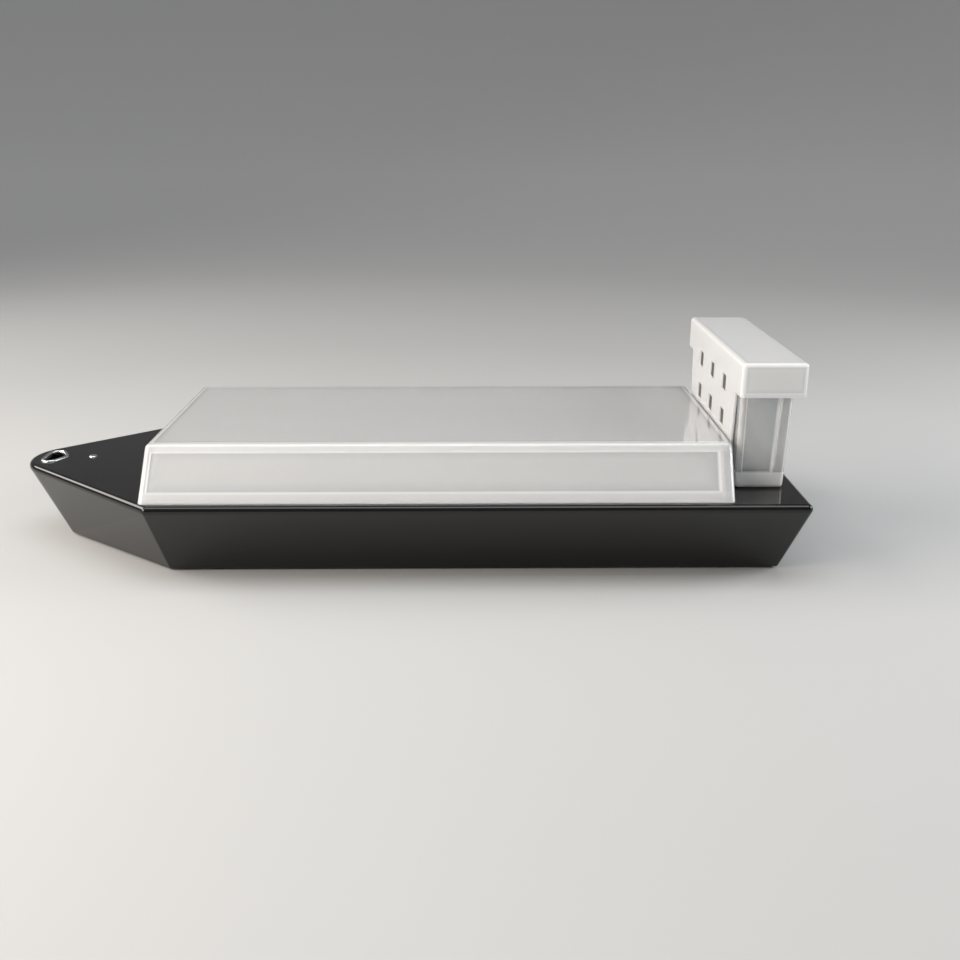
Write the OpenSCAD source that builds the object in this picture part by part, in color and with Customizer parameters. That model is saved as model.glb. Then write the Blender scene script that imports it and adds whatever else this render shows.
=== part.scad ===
// Display case in the shape of a cargo ship: a black hull, a frosted cover that
// lifts off the hold, and a frosted bridge tower under a cap with a window front.
// +X points to the stern, -Y is the port side and +Z is up. The origin is on the
// table, midway between the bow tip and the transom.

/* [Hull] */
// Length from the bow tip to the transom, at the deck
hull_length = 200.6; // [190:0.2:240]
// Beam at the deck
deck_beam = 80.6; // [79:0.2:96]
// Beam at the bottom
bottom_beam = 58; // [52:0.5:70]
// Height of the deck above the table
deck_height = 21.2; // [17:0.2:32]
// Distance from the bow tip back to the shoulders, at the deck
bow_length = 41.5; // [34:0.5:45]
// Plan radius of the bow tip at the deck
bow_radius = 10.7; // [8:0.1:13]
// Plan radius of the bow tip at the bottom
keel_bow_radius = 6; // [4:0.1:9]
// How far the bow tip leans forward from the bottom to the deck
bow_rake = 8.4; // [2:0.1:14]
// How far each shoulder leans forward from the bottom to the deck
shoulder_rake = 1.6; // [0:0.1:4]
// How far the transom leans aft from the bottom to the deck
transom_rake = 3.5; // [0:0.1:5]
// Radius of the edge round the deck
deck_edge_radius = 1.3; // [0.6:0.1:2]
// Radius of the edge round the bottom
bottom_edge_radius = 0.8; // [0.4:0.1:1.2]
// Wall of the hull
hull_wall = 2; // [1.4:0.1:2.6]
// Thickness of the deck
deck_thickness = 2.2; // [1.8:0.1:3.2]

/* [Bow pocket] */
// Distance from the bow tip back to the pocket's rim
pocket_setback = 3.9; // [2.4:0.1:5]
// Length of the rim, along the ship
pocket_length = 5.6; // [5.3:0.1:9]
// Width of the rim, across the ship
pocket_width = 9.2; // [8:0.1:11]
// Radius of the rim's corners
pocket_corner_radius = 2.1; // [1.9:0.1:2.6]
// Radius of the edge that rolls into the pocket
pocket_edge_radius = 0.9; // [0.6:0.1:1.4]
// Depth of the pocket below the deck
pocket_depth = 4.5; // [3:0.1:6]
// Wall of the cup that holds the pocket under the deck
pocket_wall = 1; // [0.8:0.1:1.4]
// Distance from the bow tip back to the moulded pip on the foredeck
pip_setback = 16.6; // [14:0.1:24]
// Diameter of the pip
pip_diameter = 2; // [1.4:0.1:3]
// Height of the pip above the deck
pip_height = 0.5; // [0.3:0.05:0.8]

/* [Underside] */
// Thickness of the bottom plate
plate_thickness = 2.2; // [2:0.1:3.4]
// Gap between the bottom plate and the hull's wall
plate_clearance = 0.25; // [0.1:0.05:0.5]
// Diameter of each foot pad
pad_diameter = 10; // [7:0.5:11]
// Thickness of each foot pad
pad_thickness = 1.2; // [0.8:0.1:1.6]
// How far the pads stand out below the bottom plate
pad_proud = 0.4; // [0.2:0.05:0.7]
// Gap round each pad in its recess
pad_clearance = 0.15; // [0.05:0.05:0.4]
// Distance between the port and starboard pads
pad_spacing = 39; // [30:0.5:40]
// Distance from the bow tip to the two forward pads
pad_bow_setback = 51; // [50:0.5:60]
// Distance from the transom to the two aft pads
pad_stern_setback = 19; // [16:0.5:30]
// Diameter of the bosses that take the bottom screws
boss_diameter = 6.4; // [5.4:0.1:7.6]
// Shank diameter of the bottom screws
bottom_screw_shank = 2.9; // [2:0.1:3.4]
// Head diameter of the bottom screws
bottom_screw_head = 5.2; // [4.6:0.1:6.4]
// Head height of the bottom screws
bottom_screw_head_height = 1.4; // [1:0.1:1.7]
// Length of the bottom screws, head included
bottom_screw_length = 10; // [6:0.5:12]
// Distance between the port and starboard rows of bottom screws
bottom_screw_spacing = 40; // [34:0.5:42]
// Distance between the middle bottom screws along the ship
bottom_screw_pitch = 60; // [40:1:80]
// Distance from the bow tip to the forward bottom screw
bottom_screw_bow_setback = 24; // [22:0.5:30]
// Distance from the transom to the aft bottom screw
bottom_screw_stern_setback = 9; // [8.5:0.1:12]

/* [Hold] */
// Distance from the bow tip to the hold cover
hold_setback = 39.6; // [36:0.2:46]
// Width of the cover across its foot
hold_width = 76.4; // [68:0.2:77]
// How far each long side leans in over the cover's height
hold_side_lean = 9; // [2:0.1:12]
// How far both ends lean aft over the cover's height
hold_rake = 0.5; // [0:0.1:1.5]
// Height of the cover above the deck
hold_height = 12.2; // [9:0.1:24]
// Wall of the cover, square to its faces
hold_wall = 1.8; // [1.2:0.1:2.6]
// Radius of the cover's upper edges and corners
hold_edge_radius = 1.3; // [0.6:0.1:2]
// Radius of the cover's inner edges and corners
hold_inner_radius = 1.5; // [0.5:0.1:2.2]
// Thickness of the hold floor
floor_thickness = 2.2; // [1.8:0.1:3.4]
// Gap between the hold floor and the cover
floor_clearance = 0.3; // [0.15:0.05:0.6]
// Diameter of the floor's bosses, which drop into the deck
floor_boss_diameter = 4.6; // [4.2:0.1:5.4]
// Gap round each floor boss in the deck
floor_boss_clearance = 0.2; // [0.1:0.05:0.4]
// How far the boss stops short of the deck's underside
floor_boss_relief = 0.4; // [0.2:0.1:0.8]
// Distance between the port and starboard floor screws
floor_screw_spacing = 36; // [28:0.5:40]
// Distance from each end of the floor to its screws
floor_screw_inset = 9.5; // [7:0.5:14]
// Thickness of floor left above each screw's bore
floor_screw_skin = 0.8; // [0.6:0.1:1.1]

/* [Tower] */
// Distance from the transom forward to the tower, at the deck
tower_setback = 4.15; // [3.2:0.05:8]
// Gap between the hold cover's upper edge and the front of the bridge
tower_gap = 0.4; // [0.3:0.1:3]
// Depth of the tower at the deck, fore and aft
tower_depth = 11.8; // [10:0.1:13]
// Width of the tower at the deck, across the ship
tower_width = 55.4; // [48:0.2:62]
// Height of the tower's open box above the deck
tower_height = 30.6; // [26:0.2:44]
// How far the bow and stern walls of the tower lean out over its height
tower_draft = 0.5; // [0.1:0.1:0.8]
// How far the side walls of the tower lean out over its height
tower_side_draft = 1.3; // [0.2:0.1:2]
// Wall of the tower
tower_wall = 1.8; // [1.2:0.1:2.4]
// Thickness of the tower's floor
tower_floor = 4; // [3.2:0.1:6]
// Radius of the tower's corners
tower_corner_radius = 1; // [0.6:0.1:1.6]
// Radius of the tower's inner edges and corners
tower_inner_radius = 1.8; // [0.5:0.1:2.2]
// Distance between the two tower screws
tower_screw_spacing = 32; // [20:0.5:40]
// How deep each tower screw reaches into the tower's floor
tower_screw_bite = 2.7; // [2:0.1:2.9]
// Shank diameter of the screws under the deck
deck_screw_shank = 2.5; // [1.8:0.1:2.8]
// Head diameter of the screws under the deck
deck_screw_head = 6.8; // [6.4:0.1:7.6]
// Head height of the screws under the deck
deck_screw_head_height = 1.3; // [0.8:0.1:2]

/* [Cap] */
// Wall of the cap's skirt at its sides and stern
cap_wall = 1.9; // [1.2:0.05:2.2]
// Gap between the skirt and the tower at its sides and stern
cap_clearance = 0.25; // [0.1:0.05:0.4]
// Thickness of the bridge front: the skirt's bow wall and the apron below it
front_wall = 0.7; // [0.6:0.05:1]
// Gap between the bridge front and the tower's rim
front_clearance = 0.15; // [0.1:0.05:0.3]
// Thickness of the cap's roof
cap_roof = 1.6; // [1:0.1:2.6]
// Height of the cap, from the foot of its skirt to its top
cap_height = 8.3; // [6.5:0.1:11]
// Radius of the cap's upper edges and corners
cap_edge_radius = 0.9; // [0.4:0.1:1.2]
// Width of the apron where it leaves the cap
apron_top_width = 50.4; // [44:0.2:56]
// Width of the apron at its foot
apron_foot_width = 46.4; // [40:0.2:56]
// Gap between the apron's foot and the deck
apron_gap = 0.5; // [0.3:0.1:2]

/* [Windows] */
// Width and height of each window
window_size = 3.9; // [2.4:0.1:5]
// Distance between window columns
window_pitch = 13.4; // [9:0.1:17]
// Distance between the two window rows
window_row_pitch = 8.9; // [6:0.1:11]
// Distance from the cap's top down to the upper row's centre
window_drop = 8.5; // [6:0.1:11]
// How far the inserts sit back from the apron's face
window_recess = 0.3; // [0.1:0.05:0.5]

/* [Hidden] */

PORT = -1;
MIDDLE = 0;
STARBOARD = 1;
UPPER = 0;
LOWER = 1;

// Facets of the balls and rings inside each hull(), and of everything round
SHELL_FN = 32;
ROUND_FN = 48;
// Height of the thin slices that a hull() joins, and how far cuts pass a face
SLICE = 0.02;
CUT = 1;
// Radial play of a screw in the bore it bites, and in a hole it passes through
BITE_PLAY = 0.05;
PASS_PLAY = 0.3;

// Heights of the hull's lower face and of the centres of its two rounded edges
keel_z = pad_proud;
keel_edge_z = keel_z + bottom_edge_radius;
deck_edge_z = deck_height - deck_edge_radius;
deck_underside = deck_height - deck_thickness;
bow_tip = -hull_length / 2;
transom = hull_length / 2;

// Share of the flare at a height: 0 at the lower edge, 1 at the deck's edge
function flare(z) = (z - keel_edge_z) / (deck_edge_z - keel_edge_z);
function blend(low, high, z) = low + (high - low) * flare(z);
function half_beam(z) = blend(bottom_beam, deck_beam, z) / 2;
function bow_x(z) = blend(bow_tip + bow_rake, bow_tip, z);
function bow_r(z) = blend(keel_bow_radius, bow_radius, z);
function bow_centre(z) = bow_x(z) + bow_r(z);
function shoulder_x(z) = bow_tip + bow_length + blend(shoulder_rake, 0, z);
function transom_x(z) = blend(transom - transom_rake, transom, z);

// Angle between the bow's side and the centre line: the side touches the tip's arc
function shoulder_run(z) = shoulder_x(z) - bow_centre(z);
function bow_angle(z) =
    atan2(half_beam(z), shoulder_run(z)) - asin(bow_r(z) / norm([shoulder_run(z), half_beam(z)]));

// Corners of the hull's outline at a height, moved in by a distance from every side
function shoulder_point(z, inset, side) =
    [shoulder_x(z) + inset * tan(bow_angle(z) / 2), side * (half_beam(z) - inset)];
function stern_point(z, inset, side) = [transom_x(z) - inset, side * (half_beam(z) - inset)];
function tangent_point(z, inset, side) =
    [bow_centre(z) - (bow_r(z) - inset) * sin(bow_angle(z)), side * (bow_r(z) - inset) * cos(bow_angle(z))];

// Tower, placed from the transom: its centre along the ship, and its half sizes at the rim
tower_x = transom - tower_setback - tower_depth / 2;
rim_half_depth = tower_depth / 2 + tower_draft;
rim_half_width = tower_width / 2 + tower_side_draft;
tower_screw_points = [for (side = [PORT, STARBOARD]) [tower_x, side * tower_screw_spacing / 2]];

// Cap: half width, the planes of its bow and stern faces, and its heights
cap_half_width = rim_half_width + cap_clearance + cap_wall;
cap_bow_x = tower_x - rim_half_depth - front_clearance - front_wall;
cap_stern_x = tower_x + rim_half_depth + cap_clearance + cap_wall;
cap_top = deck_height + tower_height + cap_roof;
cap_foot = cap_top - cap_height;
apron_foot = deck_height + apron_gap;

// Hold cover, from its setback to just short of the bridge front: its sides lean in and
// both its ends lean aft, so at a height it has moved aft by hold_shift()
hold_bow_x = bow_tip + hold_setback;
hold_stern_x = cap_bow_x - tower_gap - hold_rake;
hold_length = hold_stern_x - hold_bow_x;
hold_middle = (hold_bow_x + hold_stern_x) / 2;
hold_lean = atan2(hold_side_lean, hold_height);
function hold_half_width(z) = hold_width / 2 - z * tan(hold_lean);
function hold_shift(z) = hold_rake * z / hold_height;
floor_half_length = hold_length / 2 - hold_wall - floor_clearance - hold_shift(floor_thickness);
floor_half_width = hold_half_width(floor_thickness) - hold_wall / cos(hold_lean) - floor_clearance;
floor_radius = max(hold_inner_radius - floor_clearance, 0.2);
floor_boss_length = deck_thickness - floor_boss_relief;
floor_screw_points = [
    for (end = [-1, 1])
        for (side = [PORT, STARBOARD])
            [hold_middle + end * (floor_half_length - floor_screw_inset), side * floor_screw_spacing / 2]
];

// Bottom screws: one under the bow, two pairs amidships, one under the tower
bottom_screw_points = concat(
    [[bow_tip + bottom_screw_bow_setback, 0], [transom - bottom_screw_stern_setback, 0]],
    [for (end = [-1, 1]) for (side = [PORT, STARBOARD])
        [hold_middle + end * bottom_screw_pitch / 2, side * bottom_screw_spacing / 2]]
);
plate_top = keel_z + plate_thickness;
pad_bow_x = bow_tip + pad_bow_setback;
pad_stern_x = transom - pad_stern_setback;

// ---- Shared shapes ----

// Rounded edge round the hull's outline: a ring at the bow and a ball at each corner
module edge_ring(z, radius) {
    translate([bow_centre(z), 0, z])
        rotate_extrude($fn = 2 * SHELL_FN)
            translate([bow_r(z) - radius, 0])
                circle(r = radius, $fn = SHELL_FN);
    for (side = [PORT, STARBOARD])
        for (point = [shoulder_point(z, radius, side), stern_point(z, radius, side)])
            translate([point.x, point.y, z])
                ball(radius);
}

// Ball whose facets reach its full radius along every axis, so that a hull()'s faces lie flat
module ball(radius) {
    rotate_extrude($fn = SHELL_FN)
        intersection() {
            circle(r = radius, $fn = SHELL_FN);
            translate([0, -radius])
                square([radius, 2 * radius]);
        }
}

// Thin slice of the hull's outline at a height, moved in from every side
module outline_slice(z, inset) {
    translate([0, 0, z])
        linear_extrude(SLICE)
            hull_outline(z, inset);
}

module hull_outline(z, inset) {
    polygon([
        stern_point(z, inset, STARBOARD),
        shoulder_point(z, inset, STARBOARD),
        tangent_point(z, inset, STARBOARD),
        tangent_point(z, inset, PORT),
        shoulder_point(z, inset, PORT),
        stern_point(z, inset, PORT)
    ]);
    translate([bow_centre(z), 0])
        circle(r = bow_r(z) - inset, $fn = 2 * SHELL_FN);
}

// Four upright posts at the corners of a rectangle about the origin
module corner_posts(half_x, half_y, radius, height) {
    for (end = [-1, 1])
        for (side = [PORT, STARBOARD])
            translate([end * (half_x - radius), side * (half_y - radius), 0])
                cylinder(r = radius, h = height, $fn = SHELL_FN);
}

// Four balls at the corners of a rectangle about the origin
module corner_balls(half_x, half_y, radius) {
    for (end = [-1, 1])
        for (side = [PORT, STARBOARD])
            translate([end * (half_x - radius), side * (half_y - radius), 0])
                ball(radius);
}

module rounded_rectangle(half_x, half_y, radius) {
    square([2 * half_x, 2 * (half_y - radius)], center = true);
    square([2 * (half_x - radius), 2 * half_y], center = true);
    for (end = [-1, 1])
        for (side = [PORT, STARBOARD])
            translate([end * (half_x - radius), side * (half_y - radius)])
                circle(r = radius, $fn = ROUND_FN);
}

// Self-tapping screw pointing up, with the underside of its head at z = 0
module washer_head_screw(length) {
    difference() {
        translate([0, 0, -deck_screw_head_height])
            cylinder(d = deck_screw_head, h = deck_screw_head_height, $fn = ROUND_FN);
        translate([0, 0, -deck_screw_head_height])
            cross_slot(deck_screw_head * 0.6, deck_screw_head_height / 2);
    }
    cylinder(d = deck_screw_shank, h = length, $fn = ROUND_FN);
}

// Driver slots cut up into a screw head whose face is at z = 0
module cross_slot(span, depth) {
    for (turn = [0, 90])
        rotate([0, 0, turn])
            translate([-span / 2, -span / 10, -CUT])
                cube([span, span / 5, depth + CUT]);
}

// ---- Hull ----

module hull_shell() {
    difference() {
        hull() {
            edge_ring(deck_edge_z, deck_edge_radius);
            edge_ring(keel_edge_z, bottom_edge_radius);
        }
        hull() {
            outline_slice(keel_z - CUT, hull_wall);
            outline_slice(deck_underside - SLICE, hull_wall);
        }
    }
}

// Rounded triangle of the pocket between two heights, apex aft: its sides are drawn in
// from the rim by one inset at the low end and another at the high end
module pocket_block(low, low_inset, high, high_inset) {
    bow_y = pocket_width / 2 - pocket_corner_radius;
    apex_x = pocket_length - pocket_corner_radius;
    hull()
        for (point = [[pocket_corner_radius, bow_y], [pocket_corner_radius, -bow_y], [apex_x, 0]])
            translate([bow_tip + pocket_setback + point.x, point.y, low])
                cylinder(
                    r1 = pocket_corner_radius - low_inset, r2 = pocket_corner_radius - high_inset,
                    h = high - low, $fn = SHELL_FN
                );
}

// Inset and height of the rolled edge, at an angle down from the deck
function roll_inset(turn) = pocket_edge_radius * sin(turn);
function roll_z(turn) = deck_height - pocket_edge_radius * (1 - cos(turn));

module pocket_cut() {
    step = 30;
    for (turn = [0, step, 2 * step])
        pocket_block(roll_z(turn + step), roll_inset(turn + step), roll_z(turn), roll_inset(turn));
    pocket_block(deck_height - pocket_depth, pocket_edge_radius, deck_height + CUT, pocket_edge_radius);
}

module pocket_cup() {
    inset = pocket_edge_radius - pocket_wall;
    pocket_block(deck_height - pocket_depth - pocket_wall, inset, deck_underside + deck_thickness / 2, inset);
}

module hull_body() {
    color([0.03, 0.03, 0.03])
        difference() {
            union() {
                hull_shell();
                pocket_cup();
                for (point = bottom_screw_points)
                    translate([point.x, point.y, plate_top])
                        cylinder(d = boss_diameter, h = deck_underside - plate_top + SLICE, $fn = ROUND_FN);
                translate([bow_tip + pip_setback, 0, deck_height])
                    pip();
            }
            pocket_cut();
            for (point = bottom_screw_points)
                translate([point.x, point.y, plate_top - CUT])
                    cylinder(
                        r = bottom_screw_shank / 2 + BITE_PLAY,
                        h = bottom_screw_length + CUT, $fn = ROUND_FN
                    );
            for (point = floor_screw_points)
                translate([point.x, point.y, deck_underside - CUT])
                    cylinder(
                        r = floor_boss_diameter / 2 + floor_boss_clearance,
                        h = deck_thickness + 2 * CUT, $fn = ROUND_FN
                    );
            for (point = tower_screw_points)
                translate([point.x, point.y, deck_underside - CUT])
                    cylinder(
                        r = deck_screw_shank / 2 + PASS_PLAY,
                        h = deck_thickness + 2 * CUT, $fn = ROUND_FN
                    );
        }
}

// Low dome moulded on the deck: the top of a larger ball, dome in radius
module pip() {
    dome = (pow(pip_diameter / 2, 2) + pow(pip_height, 2)) / (2 * pip_height);
    intersection() {
        translate([0, 0, pip_height - dome])
            sphere(r = dome, $fn = ROUND_FN);
        translate([0, 0, -SLICE])
            cylinder(d = pip_diameter, h = pip_height + 2 * SLICE, $fn = ROUND_FN);
    }
}

// ---- Underside ----

module bottom_plate() {
    pad_recess = pad_thickness - pad_proud;
    color([0.06, 0.06, 0.06])
        difference() {
            translate([0, 0, keel_z])
                linear_extrude(plate_thickness)
                    hull_outline(keel_z, hull_wall + plate_clearance);
            for (x = [pad_bow_x, pad_stern_x])
                for (side = [PORT, STARBOARD])
                    translate([x, side * pad_spacing / 2, keel_z - CUT])
                        cylinder(d = pad_diameter + 2 * pad_clearance, h = pad_recess + CUT, $fn = ROUND_FN);
            for (point = bottom_screw_points)
                translate([point.x, point.y, keel_z])
                    countersink();
        }
}

// Hole for one bottom screw, with its cone, up from the plate's lower face
module countersink() {
    hole = bottom_screw_shank / 2 + PASS_PLAY;
    translate([0, 0, -CUT])
        cylinder(r = hole, h = plate_thickness + 2 * CUT, $fn = ROUND_FN);
    cylinder(d1 = bottom_screw_head + 2 * PASS_PLAY, r2 = hole, h = bottom_screw_head_height, $fn = ROUND_FN);
    translate([0, 0, -CUT])
        cylinder(d = bottom_screw_head + 2 * PASS_PLAY, h = CUT, $fn = ROUND_FN);
}

module bottom_screws() {
    color([0.6, 0.6, 0.62])
        for (point = bottom_screw_points)
            translate([point.x, point.y, keel_z])
                difference() {
                    union() {
                        cylinder(
                            d1 = bottom_screw_head, d2 = bottom_screw_shank,
                            h = bottom_screw_head_height, $fn = ROUND_FN
                        );
                        cylinder(d = bottom_screw_shank, h = bottom_screw_length, $fn = ROUND_FN);
                    }
                    cross_slot(bottom_screw_head * 0.6, bottom_screw_head_height / 2);
                }
}

module foot_pad(x, side) {
    color([0.12, 0.12, 0.12])
        translate([x, side * pad_spacing / 2, 0])
            cylinder(d = pad_diameter, h = pad_thickness, $fn = ROUND_FN);
}

// ---- Hold ----

module hold_floor() {
    color([0.8, 0.82, 0.84, 0.7])
        difference() {
            union() {
                translate([hold_middle, 0, deck_height])
                    linear_extrude(floor_thickness)
                        rounded_rectangle(floor_half_length, floor_half_width, floor_radius);
                for (point = floor_screw_points)
                    translate([point.x, point.y, deck_height - floor_boss_length])
                        cylinder(
                            d = floor_boss_diameter,
                            h = floor_boss_length + floor_thickness / 2, $fn = ROUND_FN
                        );
            }
            for (point = floor_screw_points)
                translate([point.x, point.y, deck_height - floor_boss_length - CUT])
                    cylinder(
                        r = deck_screw_shank / 2 + BITE_PLAY,
                        h = floor_boss_length + floor_thickness - floor_screw_skin + CUT, $fn = ROUND_FN
                    );
        }
}

module hold_floor_screws() {
    color([0.6, 0.6, 0.62])
        for (point = floor_screw_points)
            translate([point.x, point.y, deck_underside])
                washer_head_screw(deck_thickness + floor_thickness - floor_screw_skin - PASS_PLAY);
}

module hold_cover() {
    side_wall = hold_wall / cos(hold_lean);
    outer_half = hold_length / 2;
    inner_half = outer_half - hold_wall;
    top_ball_z = hold_height - hold_edge_radius;
    inner_top_z = hold_height - hold_wall - hold_inner_radius;
    color([0.85, 0.86, 0.87, 0.7])
        translate([hold_middle, 0, deck_height])
            difference() {
                hull() {
                    translate([hold_shift(top_ball_z), 0, top_ball_z])
                        corner_balls(
                            outer_half, leaning_half(top_ball_z, hold_edge_radius), hold_edge_radius
                        );
                    corner_posts(outer_half, hold_width / 2, hold_edge_radius, SLICE);
                }
                hull() {
                    translate([hold_shift(inner_top_z), 0, inner_top_z])
                        corner_balls(
                            inner_half, leaning_half(inner_top_z, hold_inner_radius) - side_wall,
                            hold_inner_radius
                        );
                    translate([hold_shift(-CUT), 0, -CUT])
                        corner_posts(inner_half, hold_half_width(-CUT) - side_wall, hold_inner_radius, SLICE);
                }
            }
}

// Half width to the far side of a ball that touches the leaning side at a height
function leaning_half(z, radius) = hold_half_width(z) - radius / cos(hold_lean) + radius;

// ---- Tower ----

module tower_box() {
    color([0.84, 0.86, 0.88, 0.6])
        translate([tower_x, 0, deck_height])
            difference() {
                hull() {
                    translate([0, 0, tower_corner_radius])
                        corner_balls(tower_depth / 2, tower_width / 2, tower_corner_radius);
                    translate([0, 0, tower_height - SLICE])
                        corner_posts(rim_half_depth, rim_half_width, tower_corner_radius, SLICE);
                }
                hull() {
                    translate([0, 0, tower_floor + tower_inner_radius])
                        corner_balls(
                            tower_depth / 2 - tower_wall, tower_width / 2 - tower_wall, tower_inner_radius
                        );
                    translate([0, 0, tower_height + CUT])
                        corner_posts(
                            rim_half_depth - tower_wall, rim_half_width - tower_wall, tower_inner_radius,
                            SLICE
                        );
                }
                for (point = tower_screw_points)
                    translate([0, point.y, -CUT])
                        cylinder(
                            r = deck_screw_shank / 2 + BITE_PLAY,
                            h = tower_screw_bite + PASS_PLAY + CUT, $fn = ROUND_FN
                        );
            }
}

module tower_screws() {
    color([0.6, 0.6, 0.62])
        for (point = tower_screw_points)
            translate([point.x, point.y, deck_underside])
                washer_head_screw(deck_thickness + tower_screw_bite);
}

module tower_cap() {
    color([0.9, 0.9, 0.9, 0.9])
        difference() {
            union() {
                cap_shell();
                apron();
            }
            for (row = [UPPER, LOWER])
                for (column = [PORT, MIDDLE, STARBOARD])
                    window_block(row, column, -CUT, front_wall + CUT);
        }
}

module cap_shell() {
    difference() {
        translate([(cap_bow_x + cap_stern_x) / 2, 0, 0])
            hull() {
                half_depth = (cap_stern_x - cap_bow_x) / 2;
                translate([0, 0, cap_top - cap_edge_radius])
                    corner_balls(half_depth, cap_half_width, cap_edge_radius);
                translate([0, 0, cap_foot])
                    corner_posts(half_depth, cap_half_width, cap_edge_radius, SLICE);
            }
        translate([cap_bow_x + front_wall, cap_wall - cap_half_width, cap_foot - CUT])
            cube([
                cap_stern_x - cap_bow_x - front_wall - cap_wall, 2 * (cap_half_width - cap_wall),
                cap_height - cap_roof + CUT
            ]);
    }
}

// Front of the bridge, which hangs from the foot of the skirt's bow wall
module apron() {
    translate([cap_bow_x, 0, 0])
        rotate([90, 0, 90])
            linear_extrude(front_wall)
                polygon([
                    [-apron_foot_width / 2, apron_foot], [apron_foot_width / 2, apron_foot],
                    [apron_top_width / 2, cap_foot], [-apron_top_width / 2, cap_foot]
                ]);
}

// Block as wide and high as a window, between two depths behind the apron's face
module window_block(row, column, front, back) {
    translate([
        cap_bow_x + front,
        column * window_pitch - window_size / 2,
        cap_top - window_drop - row * window_row_pitch - window_size / 2
    ])
        cube([back - front, window_size, window_size]);
}

module window_insert(row, column) {
    color([0.1, 0.1, 0.1])
        window_block(row, column, window_recess, front_wall);
}

hull_body();  // hull
bottom_plate();
bottom_screws();
foot_pad(pad_bow_x, PORT);  // foot_pad_bow_port
foot_pad(pad_bow_x, STARBOARD);  // foot_pad_bow_starboard
foot_pad(pad_stern_x, PORT);  // foot_pad_stern_port
foot_pad(pad_stern_x, STARBOARD);  // foot_pad_stern_starboard
hold_floor();
hold_floor_screws();
hold_cover();
tower_box();
tower_screws();
tower_cap();
window_insert(UPPER, PORT);  // window_upper_port
window_insert(UPPER, MIDDLE);  // window_upper_middle
window_insert(UPPER, STARBOARD);  // window_upper_starboard
window_insert(LOWER, PORT);  // window_lower_port
window_insert(LOWER, MIDDLE);  // window_lower_middle
window_insert(LOWER, STARBOARD);  // window_lower_starboard
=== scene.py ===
"""Looks of the ship-shaped display case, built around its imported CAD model.

The CAD nodes keep their shapes. This script gives them smooth shading, fine edge
rounding and procedural materials, adds two bits of bright trim on the foredeck, and
sets up the floor, the lamps and the camera. +X points to the stern, -Y is the port
side, +Z is up, and lengths are in metres.
"""

import math
from collections import namedtuple

import bpy
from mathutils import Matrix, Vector


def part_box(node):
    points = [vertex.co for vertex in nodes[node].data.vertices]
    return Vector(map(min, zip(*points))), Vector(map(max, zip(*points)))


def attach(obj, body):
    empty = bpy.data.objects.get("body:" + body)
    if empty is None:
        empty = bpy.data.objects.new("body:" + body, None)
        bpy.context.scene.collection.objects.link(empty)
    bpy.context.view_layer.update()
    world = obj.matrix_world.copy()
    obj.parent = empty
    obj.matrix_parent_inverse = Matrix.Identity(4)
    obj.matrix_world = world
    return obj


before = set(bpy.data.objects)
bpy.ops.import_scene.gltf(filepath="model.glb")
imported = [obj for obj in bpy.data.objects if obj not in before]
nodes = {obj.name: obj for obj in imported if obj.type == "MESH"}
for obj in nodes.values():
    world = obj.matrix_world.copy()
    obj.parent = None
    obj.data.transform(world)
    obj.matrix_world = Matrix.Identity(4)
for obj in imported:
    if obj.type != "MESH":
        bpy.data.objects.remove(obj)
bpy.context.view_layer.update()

MM = 0.001


# ---- Shading of the CAD meshes ----

WELD_DISTANCE = 0.002 * MM
SHARP_PAST = math.radians(28)
BEVEL_PAST = math.radians(40)
BEVEL_STEPS = 2
EVENING_WEIGHT = 80


def sharp_edges_group(name, limit):
    """Geometry nodes that shade a mesh smooth and mark its edges sharp past an angle."""
    group = bpy.data.node_groups.new(name, "GeometryNodeTree")
    group.interface.new_socket("Geometry", in_out="INPUT", socket_type="NodeSocketGeometry")
    group.interface.new_socket("Geometry", in_out="OUTPUT", socket_type="NodeSocketGeometry")
    inlet = group.nodes.new("NodeGroupInput")
    outlet = group.nodes.new("NodeGroupOutput")
    faces = group.nodes.new("GeometryNodeSetShadeSmooth")
    faces.domain = "FACE"
    faces.inputs["Shade Smooth"].default_value = True
    edges = group.nodes.new("GeometryNodeSetShadeSmooth")
    edges.domain = "EDGE"
    edges.inputs["Shade Smooth"].default_value = False
    angle = group.nodes.new("GeometryNodeInputMeshEdgeAngle")
    past = group.nodes.new("FunctionNodeCompare")
    past.data_type = "FLOAT"
    past.operation = "GREATER_THAN"
    past.inputs["B"].default_value = limit
    links = group.links
    links.new(angle.outputs["Unsigned Angle"], past.inputs["A"])
    links.new(inlet.outputs["Geometry"], faces.inputs["Geometry"])
    links.new(faces.outputs["Geometry"], edges.inputs["Geometry"])
    links.new(past.outputs["Result"], edges.inputs["Selection"])
    links.new(edges.outputs["Geometry"], outlet.inputs["Geometry"])
    return group


SHARP = sharp_edges_group("sharp_edges", SHARP_PAST)


def dress(name, material, bevel=0.0):
    """Gives a CAD node its material, welds its seams, rounds its edges and shades it."""
    obj = nodes[name]
    mesh = obj.data
    if "custom_normal" in mesh.attributes:
        mesh.attributes.remove(mesh.attributes["custom_normal"])
    mesh.materials.clear()
    mesh.materials.append(material)
    weld = obj.modifiers.new("weld", "WELD")
    weld.merge_threshold = WELD_DISTANCE
    if bevel:
        edge = obj.modifiers.new("edge", "BEVEL")
        edge.width = bevel
        edge.segments = BEVEL_STEPS
        edge.limit_method = "ANGLE"
        edge.angle_limit = BEVEL_PAST
        edge.miter_outer = "MITER_ARC"
    smooth = obj.modifiers.new("smooth", "NODES")
    smooth.node_group = SHARP
    even = obj.modifiers.new("even", "WEIGHTED_NORMAL")
    even.mode = "FACE_AREA"
    even.weight = EVENING_WEIGHT
    even.keep_sharp = True


# ---- Materials ----

BLACK_IOR = 1.5
FROSTED_IOR = 1.49
COAT_ROUGHNESS = 0.06

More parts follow.
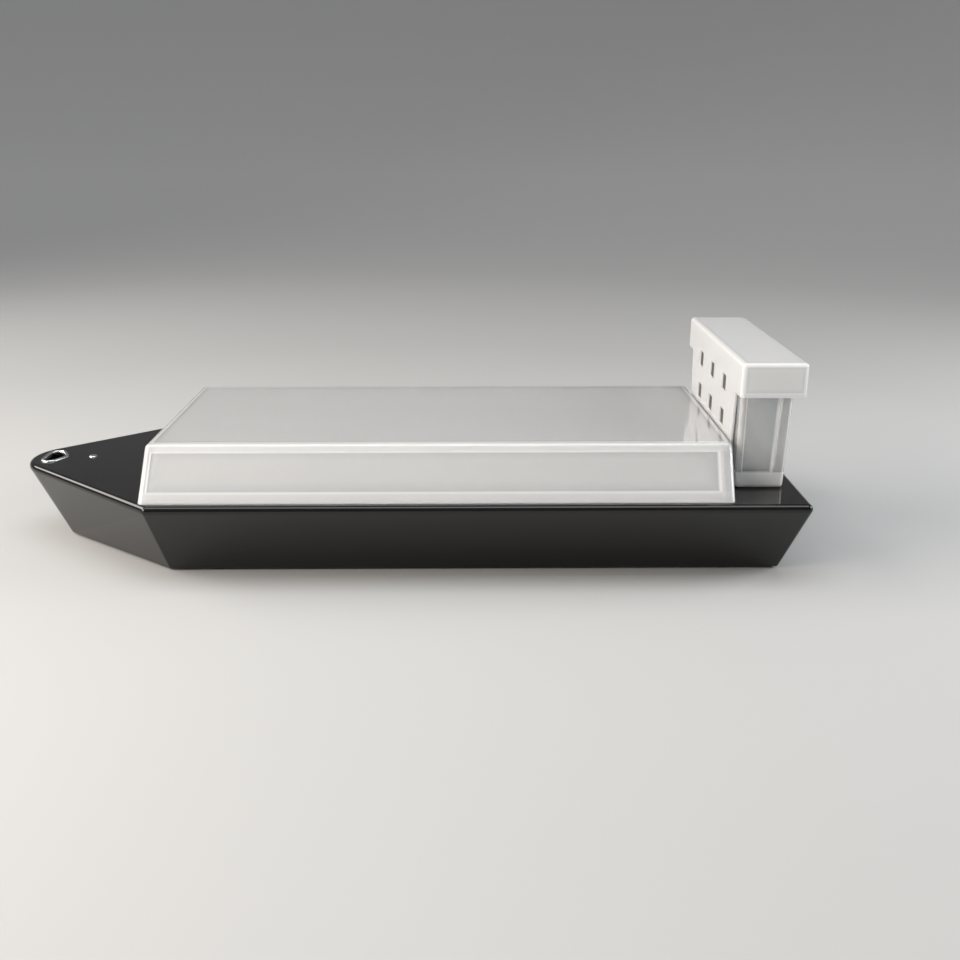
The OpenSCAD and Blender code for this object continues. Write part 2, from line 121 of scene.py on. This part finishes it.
# Light glows through frosted plastic to this depth, by red, green and blue
GLOW_DEPTH = 1.2 * MM
GLOW_SPREAD = (1.0, 1.0, 0.95)

# Where frosted walls meet, the edge bands are painted nearly white, and only this share as clear:
# partly the denser look of thicker plastic, partly painted highlight
DENSE_AND_HIGHLIGHT_WHITE = (0.975, 0.975, 0.97)
DENSE_AND_HIGHLIGHT_TRANSMISSION = 0.2
# Inside the inner corner, a painted shade in a cool tint makes up at most this share of the colour
PAINTED_SHADE_TINT = (0.76, 0.79, 0.80)
PAINTED_SHADE_SHARE = 0.7

# Places across an edge band, from the edge inwards, where the inner corner lies at 0.5:
# the outer painted highlight line is full and gone, the inner painted highlight line starts, is
# full, turns and is gone
LINE_FULL, LINE_GONE = 0.06, 0.14
INNER_START, INNER_FULL, INNER_CORNER, INNER_GONE = 0.40, 0.46, 0.50, 0.56
INNER_CORNER_LINE = 0.8

# Widths of the edge bands beside the bow corners, the stern corners, the rim of the top
# face, and the top and the foot of the walls
Bands = namedtuple("Bands", "bow stern rim top foot")


class Look:
    """A node material with one Principled shader and helpers for its procedural detail."""

    def __init__(self, name):
        self.material = bpy.data.materials.new(name)
        self.material.use_nodes = True
        self.tree = self.material.node_tree
        self.tree.nodes.clear()
        out = self.tree.nodes.new("ShaderNodeOutputMaterial")
        self.shader = self.tree.nodes.new("ShaderNodeBsdfPrincipled")
        self.tree.links.new(self.shader.outputs["BSDF"], out.inputs["Surface"])
        self.place = self.tree.nodes.new("ShaderNodeTexCoord").outputs["Object"]

    def set(self, **values):
        """Sets sockets of the shader that are the same all over the surface."""
        for key, value in values.items():
            self.shader.inputs[key.replace("_", " ")].default_value = value

    def noise(self, scale, detail, roughness, stretch=None):
        """Noise from 0 to 1 that is fixed to the object."""
        node = self.tree.nodes.new("ShaderNodeTexNoise")
        node.inputs["Scale"].default_value = scale
        node.inputs["Detail"].default_value = detail
        node.inputs["Roughness"].default_value = roughness
        place = self.place
        if stretch:
            mapping = self.tree.nodes.new("ShaderNodeMapping")
            mapping.inputs["Scale"].default_value = stretch
            self.tree.links.new(place, mapping.inputs["Vector"])
            place = mapping.outputs["Vector"]
        self.tree.links.new(place, node.inputs["Vector"])
        return node.outputs["Fac"]

    def ramp(self, factor, span, values):
        """Maps a factor from the two ends of a span to two values, and holds it beyond."""
        node = self.tree.nodes.new("ShaderNodeMapRange")
        node.inputs["From Min"].default_value, node.inputs["From Max"].default_value = span
        node.inputs["To Min"].default_value, node.inputs["To Max"].default_value = values
        self.tree.links.new(factor, node.inputs["Value"])
        return node.outputs["Result"]

    def math(self, operation, *values):
        """One sum on values that are sockets or numbers."""
        node = self.tree.nodes.new("ShaderNodeMath")
        node.operation = operation
        for socket, value in zip(node.inputs, values):
            if isinstance(value, bpy.types.NodeSocket):
                self.tree.links.new(value, socket)
            else:
                socket.default_value = value
        return node.outputs["Value"]

    def mix(self, factor, first, second):
        """Mixes two colours, each a socket or three numbers, by a factor."""
        node = self.tree.nodes.new("ShaderNodeMix")
        node.data_type = "RGBA"
        self.tree.links.new(factor, node.inputs["Factor"])
        for socket, colour in ((node.inputs["A"], first), (node.inputs["B"], second)):
            if isinstance(colour, bpy.types.NodeSocket):
                self.tree.links.new(colour, socket)
            else:
                socket.default_value = (*colour, 1)
        return node.outputs["Result"]

    def profile(self, factor, stops):
        """Runs a factor through straight lines between (factor, value) stops from 0 to 1."""
        node = self.tree.nodes.new("ShaderNodeValToRGB")
        elements = node.color_ramp.elements
        elements[1].position = stops[-1][0]
        for place, _ in stops[1:-1]:
            elements.new(place)
        for element, (place, value) in zip(elements, stops):
            element.position = place
            element.color = (value, value, value, 1)
        self.tree.links.new(factor, node.inputs["Fac"])
        return node.outputs["Color"]

    def feed(self, socket, source):
        """Drives a socket of the shader."""
        self.tree.links.new(source, self.shader.inputs[socket])

    def bump(self, height, strength, distance):
        """Adds fine relief to the shader."""
        node = self.tree.nodes.new("ShaderNodeBump")
        node.inputs["Strength"].default_value = strength
        node.inputs["Distance"].default_value = distance
        self.tree.links.new(height, node.inputs["Height"])
        self.tree.links.new(node.outputs["Normal"], self.shader.inputs["Normal"])


def gloss_black():
    """Polished moulding with a faint haze, smudges and a slight wave in its faces."""
    look = Look("gloss_black_plastic")
    look.set(IOR=BLACK_IOR)
    haze = look.noise(scale=55, detail=3, roughness=0.55)
    look.feed("Base Color", look.mix(haze, (0.0035, 0.0032, 0.0030), (0.0060, 0.0055, 0.0050)))
    smudge = look.noise(scale=38, detail=4, roughness=0.62, stretch=(1, 1.6, 1))
    look.feed("Roughness", look.ramp(smudge, (0.35, 0.75), (0.025, 0.09)))
    wave = look.noise(scale=24, detail=2, roughness=0.4)
    look.bump(wave, strength=0.04, distance=0.4 * MM)
    return look.material


def matte_black(name, colour, roughness):
    """Grained black plastic or rubber, with patches up to 1.6 times as light."""
    look = Look(name)
    look.set(IOR=BLACK_IOR)
    grain = look.noise(scale=900, detail=3, roughness=0.6)
    patches = look.noise(scale=60, detail=3, roughness=0.5)
    look.feed("Base Color", look.mix(patches, colour, tuple(c * 1.6 for c in colour)))
    look.feed("Roughness", look.ramp(grain, (0.3, 0.7), (roughness - 0.08, roughness + 0.08)))
    look.bump(grain, strength=0.25, distance=0.06 * MM)
    return look.material


def metal(name, dark, light, roughness):
    """Bare metal with fine wear."""
    look = Look(name)
    look.set(Metallic=1.0)
    tone = look.noise(scale=400, detail=3, roughness=0.5)
    look.feed("Base Color", look.mix(tone, dark, light))
    wear = look.noise(scale=1200, detail=2, roughness=0.5)
    look.feed("Roughness", look.ramp(wear, (0.3, 0.7), (roughness * 0.75, roughness * 1.25)))
    look.bump(wear, strength=0.15, distance=0.03 * MM)
    return look.material


def window_grey():
    """Satin grey inserts with a fine grain."""
    look = Look("dark_grey_insert")
    look.set(IOR=BLACK_IOR)
    grain = look.noise(scale=1400, detail=2, roughness=0.6)
    patches = look.noise(scale=500, detail=2, roughness=0.5)
    look.feed("Base Color", look.mix(patches, (0.060, 0.056, 0.050), (0.085, 0.080, 0.072)))
    look.feed("Roughness", look.ramp(grain, (0.3, 0.7), (0.38, 0.52)))
    look.bump(grain, strength=0.2, distance=0.03 * MM)
    return look.material


def edge_distances(look, box, bands, spread=(0.0, 0.0), shift=0.0, front=None):
    """How far a point of a boxy moulding is from its upright and from its level edges.

    box is its lowest and highest corner. From foot to top each half size grows by its
    spread, and the whole section moves aft by shift. Distances are in widths of the edge
    bands. A front wall of the depth given counts as level edge all over, so its face takes
    the painted highlight line everywhere.
    """
    (x_low, y_low, z_low), (x_high, y_high, z_high) = box
    split = look.tree.nodes.new("ShaderNodeSeparateXYZ")
    look.tree.links.new(look.place, split.inputs["Vector"])
    x, y, z = (split.outputs[axis] for axis in "XYZ")
    rise = look.math("SUBTRACT", z, z_low)
    share = look.math("DIVIDE", rise, z_high - z_low)

    def depths(axis, low, high, grows, moves):
        """How far a point lies in from each of two faces, as they stand at its height."""
        middle = look.math("MULTIPLY_ADD", share, moves, (low + high - moves) / 2)
        at_foot = (high - low - moves) / 2 - max(grows, 0)
        half = look.math("MULTIPLY_ADD", share, grows, at_foot)
        off = look.math("SUBTRACT", axis, middle)
        return look.math("ADD", half, off), look.math("SUBTRACT", half, off)

    def nearest(pair, widths):
        """The nearer of two faces, each measured in widths of its own band."""
        scaled = [look.math("DIVIDE", depth, width) for depth, width in zip(pair, widths)]
        return look.math("MINIMUM", *scaled)

    ends = depths(x, x_low, x_high, spread[0], shift)
    sides = nearest(depths(y, y_low, y_high, spread[1], 0.0), (bands.rim, bands.rim))
    levels = nearest((look.math("SUBTRACT", z_high, z), rise), (bands.top, bands.foot))
    upright = look.math("MAXIMUM", nearest(ends, (bands.bow, bands.stern)), sides)
    rim = look.math("MINIMUM", nearest(ends, (bands.rim, bands.rim)), sides)
    level = look.math("MAXIMUM", levels, rim)
    if front:
        behind_front = look.math("DIVIDE", look.math("SUBTRACT", x, x_low), front)
        level = look.math("MINIMUM", level, behind_front)
    return upright, level


def frosted(name, colours, transmission, roughness, gloss, edges=None, line=None, band=None):
    """Milky translucent moulding under a satin face.

    Where walls meet, its colour is painted: a painted highlight line at the edge, a whiter
    band beside it that is partly the denser look of thicker plastic and partly painted
    highlight, a painted highlight line at the inner corner and a painted shade inside it.
    edges goes to edge_distances. line and band say how strong the painted lines and the
    band are, each for upright and then for level edges.
    """
    look = Look(name)
    look.set(
        IOR=FROSTED_IOR, Transmission_Weight=transmission,
        Coat_Weight=gloss, Coat_Roughness=COAT_ROUGHNESS,
        Subsurface_Weight=1.0, Subsurface_Scale=GLOW_DEPTH, Subsurface_Radius=GLOW_SPREAD,
    )
    cloud = look.noise(scale=32, detail=3, roughness=0.5)
    body = look.mix(look.ramp(cloud, (0.35, 0.68), (0, 1)), *colours)
    if edges:
        upright, level = edge_distances(look, **edges)
        by_level = look.math("LESS_THAN", level, 1.0)
        highlight_line_strength = look.ramp(by_level, (0, 1), line)
        band_whiteness = look.ramp(by_level, (0, 1), band)
        # Halved, so that the inner corner lies at 0.5 and the shade has room beyond it
        nearest = look.math("MULTIPLY", look.math("MINIMUM", upright, level), 0.5)
        # The bright lines at the edge and at the inner corner are painted highlights
        lines = look.profile(nearest, (
            (0.0, 1.0), (LINE_FULL, 1.0), (LINE_GONE, 0.0), (INNER_START, 0.0),
            (INNER_FULL, 1.0), (INNER_CORNER, INNER_CORNER_LINE), (INNER_GONE, 0.0),
        ))
        between = look.profile(nearest, (
            (0.0, 0.0), (LINE_FULL, 0.0), (LINE_GONE, 1.0), (INNER_START, 1.0), (INNER_FULL, 0.0),
        ))
        band_part = look.math("MULTIPLY", between, band_whiteness)
        dense_and_highlight = look.math("MULTIPLY_ADD", lines, highlight_line_strength, band_part)
        # Painted shade just inside the inner corner, in a cool tint
        shade = look.profile(nearest, (
            (INNER_CORNER, 0.0), (INNER_GONE, PAINTED_SHADE_SHARE), (1.0, 0.0),
        ))
        body = look.mix(dense_and_highlight, look.mix(shade, body, PAINTED_SHADE_TINT), DENSE_AND_HIGHLIGHT_WHITE)
        clearness = (transmission, transmission * DENSE_AND_HIGHLIGHT_TRANSMISSION)
        look.feed("Transmission Weight", look.ramp(dense_and_highlight, (0, 1), clearness))
    look.feed("Base Color", body)
    grain = look.noise(scale=700, detail=3, roughness=0.6)
    look.feed("Roughness", look.ramp(grain, (0.3, 0.7), (roughness - 0.02, roughness + 0.03)))
    look.bump(grain, strength=0.05, distance=0.02 * MM)
    return look.material


HULL = gloss_black()
PLATE = matte_black("matte_black_plastic", (0.016, 0.016, 0.016), roughness=0.55)
RUBBER = matte_black("black_rubber", (0.028, 0.028, 0.028), roughness=0.82)
SCREWS = metal("zinc_plated_steel", (0.50, 0.50, 0.51), (0.66, 0.66, 0.68), roughness=0.34)
BRIGHT = metal("bright_steel", (0.70, 0.70, 0.71), (0.80, 0.80, 0.81), roughness=0.16)
# The edges of these frosted mouldings carry painted highlight lines, a partly painted whiter band
# and painted shade
COVER = frosted(
    "frosted_cover", ((0.95, 0.945, 0.935), (0.97, 0.965, 0.96)),
    transmission=0.58, roughness=0.04, gloss=0.6,
    edges={
        "box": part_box("hold_cover"),
        "bands": Bands(bow=1.9 * MM, stern=3.7 * MM, rim=1.6 * MM, top=1.7 * MM, foot=2.3 * MM),
        "spread": (0.0, -9.0 * MM),
        "shift": 0.5 * MM,
    },
    line=(0.8, 0.5), band=(0.2, 0.3),
)
FLOOR = frosted(
    "frosted_floor", ((0.86, 0.87, 0.87), (0.90, 0.91, 0.91)),
    transmission=0.15, roughness=0.30, gloss=0.0,
)
TOWER = frosted(
    "frosted_tower", ((0.90, 0.92, 0.925), (0.93, 0.945, 0.95)),
    transmission=0.68, roughness=0.04, gloss=0.4,
    edges={
        "box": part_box("tower_box"),
        "bands": Bands(bow=1.3 * MM, stern=3.6 * MM, rim=1.4 * MM, top=0.1 * MM, foot=4.2 * MM),
        "spread": (0.5 * MM, 1.3 * MM),
    },
    line=(0.95, 1.0), band=(0.22, 0.9),
)
# The cap's edge bands follow its skirt and leave out the apron, which hangs lower
CAP_LOW, CAP_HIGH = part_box("tower_cap")
SKIRT_HEIGHT = 8.3 * MM
CAP = frosted(
    "milky_cap", ((0.92, 0.92, 0.915), (0.95, 0.95, 0.94)),
    transmission=0.25, roughness=0.12, gloss=0.3,
    edges={
        "box": ((CAP_LOW[0], CAP_LOW[1], CAP_HIGH[2] - SKIRT_HEIGHT), CAP_HIGH),
        "bands": Bands(bow=0.9 * MM, stern=0.9 * MM, rim=0.9 * MM, top=0.8 * MM, foot=1.1 * MM),
        # The apron's front face is painted white with the highlight line all over: painted light
        # of the lamp beyond the bow
        "front": 1.0 * MM,
    },
    line=(0.6, 0.6), band=(0.2, 0.2),
)
WINDOWS = window_grey()

dress("hull", HULL)
dress("bottom_plate", PLATE, bevel=0.12 * MM)
for name in ("bottom_screws", "hold_floor_screws", "tower_screws"):
    dress(name, SCREWS, bevel=0.08 * MM)
for end in ("bow", "stern"):
    for side in ("port", "starboard"):
        dress(f"foot_pad_{end}_{side}", RUBBER, bevel=0.15 * MM)
dress("hold_floor", FLOOR, bevel=0.15 * MM)
dress("hold_cover", COVER)
dress("tower_box", TOWER)
dress("tower_cap", CAP)
for row in ("upper", "lower"):
    for column in ("port", "middle", "starboard"):
        dress(f"window_{row}_{column}", WINDOWS, bevel=0.12 * MM)


# ---- Meshes made here ----

def ring_faces(first, rings, around, closed=False):
    """Faces between rings of points in a row, the last one joined to the first if closed."""
    faces = []
    for ring in range(rings if closed else rings - 1):
        here, ahead = first + ring * around, first + (ring + 1) % rings * around
        for i in range(around):
            beside = (i + 1) % around
            faces.append((here + i, ahead + i, ahead + beside, here + beside))
    return faces


def turned(profile, turns, centre_x=0.0):
    """Points and faces of a form turned about an upright axis.

    profile holds (radius, height) pairs outwards from the axis, where the first one lies.
    """
    verts = [(centre_x, 0, profile[0][1])]
    for radius, z in profile[1:]:
        for i in range(turns):
            around = 2 * math.pi * i / turns
            verts.append((centre_x + radius * math.cos(around), radius * math.sin(around), z))
    fan = [(0, 1 + i, 1 + (i + 1) % turns) for i in range(turns)]
    return verts, fan + ring_faces(1, len(profile) - 1, turns)


def add_mesh(name, verts, faces, material):
    """Adds a smooth-shaded mesh."""
    mesh = bpy.data.meshes.new(name)
    mesh.from_pydata(verts, [], faces)
    mesh.materials.append(material)
    for polygon in mesh.polygons:
        polygon.use_smooth = True
    obj = bpy.data.objects.new(name, mesh)
    bpy.context.scene.collection.objects.link(obj)
    return obj


# ---- Bright trim on the foredeck ----

HULL_BOW_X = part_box("hull")[0][0]
DECK_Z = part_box("hold_cover")[0][2]


def rounded_outline(centres, radius, steps):
    """Points round a convex set of corner arcs, given by their centres anticlockwise."""
    count = len(centres)
    facing = []
    for i in range(count):
        run = centres[(i + 1) % count] - centres[i]
        facing.append(math.atan2(-run.x, run.y))
    points = []
    for i in range(count):
        start = facing[i - 1]
        turn = (facing[i] - start) % (2 * math.pi)
        for step in range(steps + 1):
            angle = start + turn * step / steps
            points.append(centres[i] + radius * Vector((math.cos(angle), math.sin(angle))))
    return points


def add_trim(name, verts, faces):
    """Adds a piece of bright trim that rides on the hull."""
    obj = add_mesh(name, verts, faces, BRIGHT)
    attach(obj, "hull_body")


def add_pocket_bead(setback, length, width, corner, bead, corner_steps=12, sides=16):
    """Round bead set into the rim of the pocket, a rounded triangle with its apex aft."""
    rim_x = HULL_BOW_X + setback
    bow_x, bow_y = rim_x + corner, width / 2 - corner
    apex_x = rim_x + length - corner
    centres = [Vector((bow_x, -bow_y)), Vector((apex_x, 0)), Vector((bow_x, bow_y))]
    path = rounded_outline(centres, corner, corner_steps)
    verts = []
    for i, point in enumerate(path):
        ahead, behind = path[(i + 1) % len(path)], path[i - 1]
        out = Vector(((ahead - behind).y, (behind - ahead).x)).normalized()
        for side in range(sides):
            turn = -2 * math.pi * side / sides
            flat = point + out * bead * math.cos(turn)
            verts.append((flat.x, flat.y, DECK_Z + bead * math.sin(turn)))
    add_trim("pocket_bead", verts, ring_faces(0, len(path), sides, closed=True))


def add_pip_stud(setback, radius, height, sides=32, rings=8):
    """Low dome over the pip behind the pocket, closed flat on the deck."""
    profile = []
    for ring in range(rings + 1):
        turn = math.pi / 2 * ring / rings
        profile.append((radius * math.sin(turn), DECK_Z + height * math.cos(turn)))
    verts, faces = turned(profile, sides, HULL_BOW_X + setback)
    underside = tuple(range(len(verts) - 1, len(verts) - 1 - sides, -1))
    add_trim("pip_stud", verts, [*faces, underside])


add_pocket_bead(setback=3.9 * MM, length=5.6 * MM, width=9.2 * MM, corner=2.1 * MM, bead=0.45 * MM)
add_pip_stud(setback=16.6 * MM, radius=1.1 * MM, height=0.53 * MM)


# ---- Floor, lamps and camera ----

FLOOR_RADIUS = 0.55
WALL_BEND_RADIUS = 1.2
WALL_TOP_Z = 1.9
WALL_BEND_STEPS = 16
FLOOR_TURNS = 72
# A ring of points this far inside the bend keeps the shading of the flat part flat
FLOOR_SEAM = 0.02

# The floor's colour fades from its near greys to its far grey over this reach
NEAR_GREYS = ((0.48, 0.48, 0.475), (0.51, 0.51, 0.505))
FAR_GREY = (0.80, 0.80, 0.80)
FLOOR_FADE = (0.25, 0.9)

WORLD_COLOUR = (0.82, 0.83, 0.85)
WORLD_STRENGTH = 0.26

CAMERA_PLACE = (18.64 * MM, -273.14 * MM, 107.80 * MM)
CAMERA_TILT = math.radians(71.065)
CAMERA_TURN = math.radians(-0.556)
SENSOR_MM = 36
LENS_MM = 39.43


def floor_material():
    """Plain pale grey, a little lighter further out, where the lamps' light thins."""
    look = Look("pale_floor")
    look.set(Roughness=0.9)
    near = look.mix(look.noise(scale=6, detail=2, roughness=0.5), *NEAR_GREYS)
    reach = look.tree.nodes.new("ShaderNodeVectorMath")
    reach.operation = "LENGTH"
    look.tree.links.new(look.place, reach.inputs[0])
    fade = look.ramp(reach.outputs["Value"], FLOOR_FADE, (0, 1))
    look.feed("Base Color", look.mix(fade, near, FAR_GREY))
    return look.material


def add_floor():
    """Round flat floor that curves up on all sides, well away from the object."""
    profile = [(0.0, 0.0), (FLOOR_RADIUS - FLOOR_SEAM, 0.0)]
    for i in range(WALL_BEND_STEPS + 1):
        turn = math.pi / 2 * i / WALL_BEND_STEPS
        radius = FLOOR_RADIUS + WALL_BEND_RADIUS * math.sin(turn)
        profile.append((radius, WALL_BEND_RADIUS * (1 - math.cos(turn))))
    profile.append((FLOOR_RADIUS + WALL_BEND_RADIUS, WALL_TOP_Z))
    floor = add_mesh("floor", *turned(profile, FLOOR_TURNS), floor_material())


def add_lamp(name, place, aim, size, watts, colour, spread=180):
    """Adds a soft rectangular lamp, out of the camera's sight, with its spread in degrees."""
    data = bpy.data.lights.new(name, "AREA")
    data.shape = "RECTANGLE"
    data.size, data.size_y = size
    data.energy = watts
    data.spread = math.radians(spread)
    data.color = colour
    lamp = bpy.data.objects.new(name, data)
    bpy.context.scene.collection.objects.link(lamp)
    lamp.location = place
    lamp.visible_camera = False
    lamp.rotation_euler = (Vector(aim) - Vector(place)).to_track_quat("-Z", "Y").to_euler()


def add_world():
    """Dim even light from all round."""
    world = bpy.data.worlds.new("studio")
    world.use_nodes = True
    background = world.node_tree.nodes["Background"]
    background.inputs["Color"].default_value = (*WORLD_COLOUR, 1)
    background.inputs["Strength"].default_value = WORLD_STRENGTH
    bpy.context.scene.world = world


def add_camera():
    """Adds the camera off the port side, looking a little down."""
    data = bpy.data.cameras.new("camera")
    data.sensor_width = SENSOR_MM
    data.lens = LENS_MM
    data.clip_start, data.clip_end = 0.01, 20
    camera = bpy.data.objects.new("camera", data)
    bpy.context.scene.collection.objects.link(camera)
    camera.location = CAMERA_PLACE
    camera.rotation_euler = (CAMERA_TILT, 0, CAMERA_TURN)
    bpy.context.scene.camera = camera


add_floor()
add_world()
# Warm light from beyond the bow makes the bright line along the foredeck's edge. Its
# spread is narrow, to keep glare off the floor under it.
add_lamp(
    "key", place=(-0.50, 0.02, 0.34), aim=(0, 0, 0.02), size=(0.50, 0.28),
    watts=1.3, colour=(1.0, 0.95, 0.89), spread=120,
)
# Warm light on the port walls, stronger towards the bow
add_lamp(
    "side", place=(-0.28, -0.22, 0.20), aim=(-0.02, -0.03, 0.02), size=(0.18, 0.18),
    watts=0.95, colour=(1.0, 0.92, 0.84),
)
# Cool light on the tops and the floor
add_lamp(
    "overhead", place=(0.02, -0.12, 0.66), aim=(0.02, 0, 0.02), size=(0.62, 0.36),
    watts=2.1, colour=(0.97, 0.985, 1.0),
)
# Cool light on the stern and the tower's edges
add_lamp(
    "rim", place=(0.42, -0.04, 0.20), aim=(0.08, 0, 0.03), size=(0.26, 0.20),
    watts=1.0, colour=(0.96, 0.98, 1.0),
)
add_camera()

bpy.context.scene.view_settings.view_transform = "Standard"
